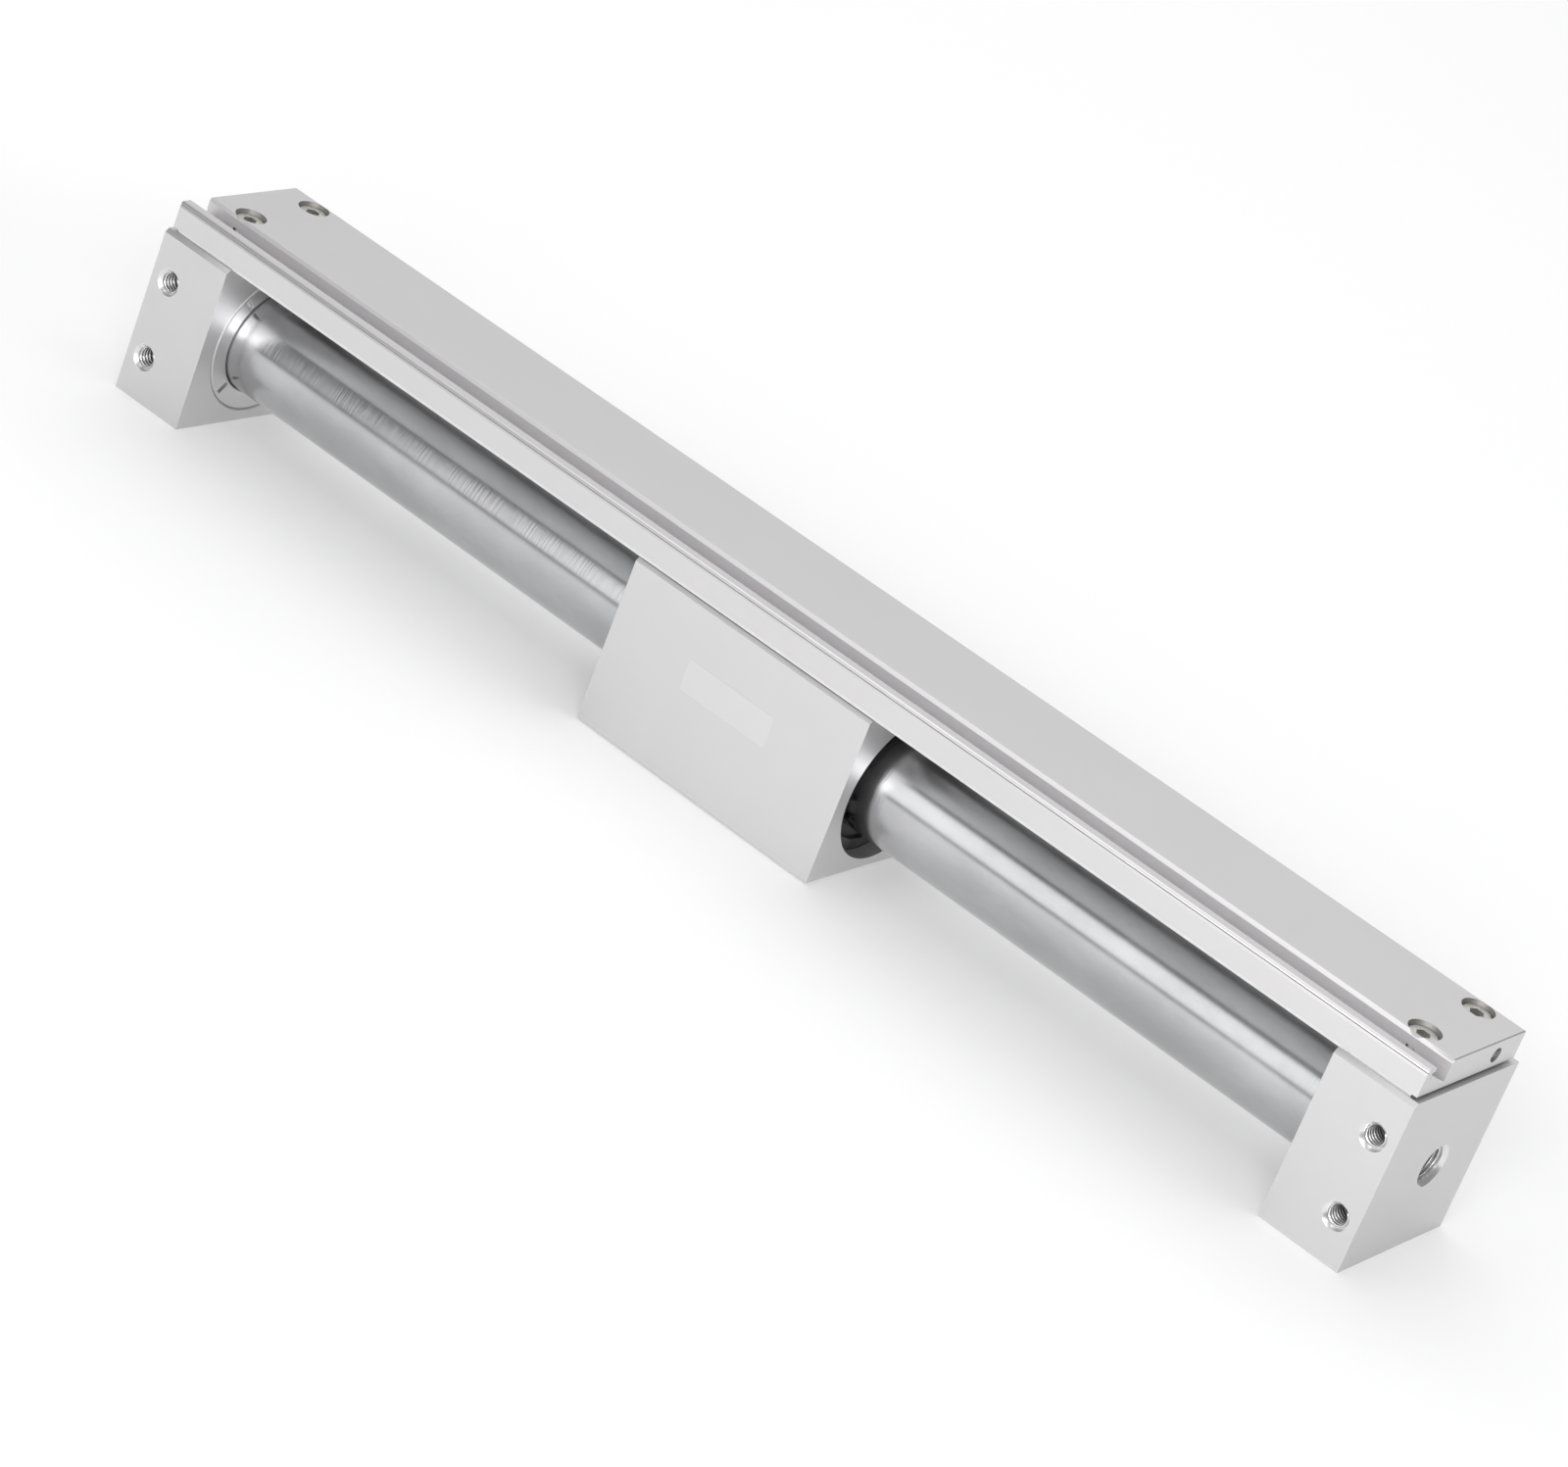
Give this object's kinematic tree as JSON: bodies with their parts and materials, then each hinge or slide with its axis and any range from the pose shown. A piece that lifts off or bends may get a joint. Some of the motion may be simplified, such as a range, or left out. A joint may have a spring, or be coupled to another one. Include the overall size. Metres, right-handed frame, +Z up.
{
  "type": "rodless pneumatic cylinder",
  "caption": "Magnetically coupled rodless air cylinder: a bored slider block rides on a sealed tube between square end plates, under a flat switch rail with a sensor slot.",
  "frame": {"origin": "middle of the length and of the depth, on the base of the end plates", "axes": "+X along the tube to the right seen from the mounting side, +Y from the mounting side to the load side, +Z up to the switch rail"},
  "size_m": [0.372, 0.0428, 0.0499],
  "materials": {
    "plate_aluminium": "fine blasted, clear anodised",
    "rail_aluminium": "extruded, clear anodised",
    "slider_aluminium": "fine blasted, clear anodised",
    "ring_aluminium": "turned, clear anodised",
    "tube_stainless": "drawn and polished lengthwise",
    "spring_steel": "phosphated, dark",
    "screw_steel": "zinc plated",
    "ball_steel": "hardened, dark",
    "shield_steel": "rolled, plated",
    "shaft_stainless": "ground",
    "yoke_steel": "zinc plated, dull",
    "spacer_steel": "nickel plated",
    "magnet_nickel": "nickel plated magnet",
    "piston_aluminium": "turned, chromated",
    "seal_rubber": "nitrile, matt",
    "scraper_rubber": "nitrile, matt",
    "bumper_urethane": "urethane",
    "wear_plastic": "filled resin",
    "felt": "oiled felt"
  },
  "bodies": {
    "cylinder_body": {"end_plate_left": "plate_aluminium", "end_plate_right": "plate_aluminium", "cylinder_tube": "tube_stainless", "attachment_ring_left": "ring_aluminium", "attachment_ring_right": "ring_aluminium", "tube_clip_left": "spring_steel", "tube_clip_right": "spring_steel", "tube_gasket_left": "seal_rubber", "tube_gasket_right": "seal_rubber", "ring_set_screws": "screw_steel", "switch_rail": "rail_aluminium", "shielding_plate": "shield_steel", "rail_screws": "screw_steel", "rail_gasket_left": "seal_rubber", "rail_gasket_right": "seal_rubber", "passage_plugs": "ball_steel"},
    "slider": {"slider_block": "slider_aluminium", "switch_magnet": "magnet_nickel", "outer_magnets": "magnet_nickel", "outer_yokes": "yoke_steel", "slider_spacer_left": "spacer_steel", "slider_wear_ring_left": "wear_plastic", "lube_retainer_left": "felt", "scraper_left": "scraper_rubber", "slider_clip_left": "spring_steel", "slider_spacer_right": "spacer_steel", "slider_wear_ring_right": "wear_plastic", "lube_retainer_right": "felt", "scraper_right": "scraper_rubber", "slider_clip_right": "spring_steel"},
    "piston_assembly": {"piston_shaft": "shaft_stainless", "inner_magnets": "magnet_nickel", "inner_yokes": "yoke_steel", "piston_spacer_left": "spacer_steel", "piston_left": "piston_aluminium", "piston_wear_ring_left": "wear_plastic", "piston_seal_left": "seal_rubber", "bumper_left": "bumper_urethane", "piston_nut_left": "spacer_steel", "piston_spacer_right": "spacer_steel", "piston_right": "piston_aluminium", "piston_wear_ring_right": "wear_plastic", "piston_seal_right": "seal_rubber", "bumper_right": "bumper_urethane", "piston_nut_right": "spacer_steel"}
  },
  "joints": [
    {"name": "slider_travel", "type": "slide", "parent": "cylinder_body", "child": "slider", "axis": [1, 0, 0], "range_m": [-0.1265, 0.1235]},
    {"name": "piston_travel", "type": "slide", "parent": "cylinder_body", "child": "piston_assembly", "axis": [1, 0, 0], "range_m": [-0.1265, 0.1235]}
  ],
  "couplings": [
    {"joint": "piston_travel", "follows": "slider_travel", "ratio": 1}
  ]
}
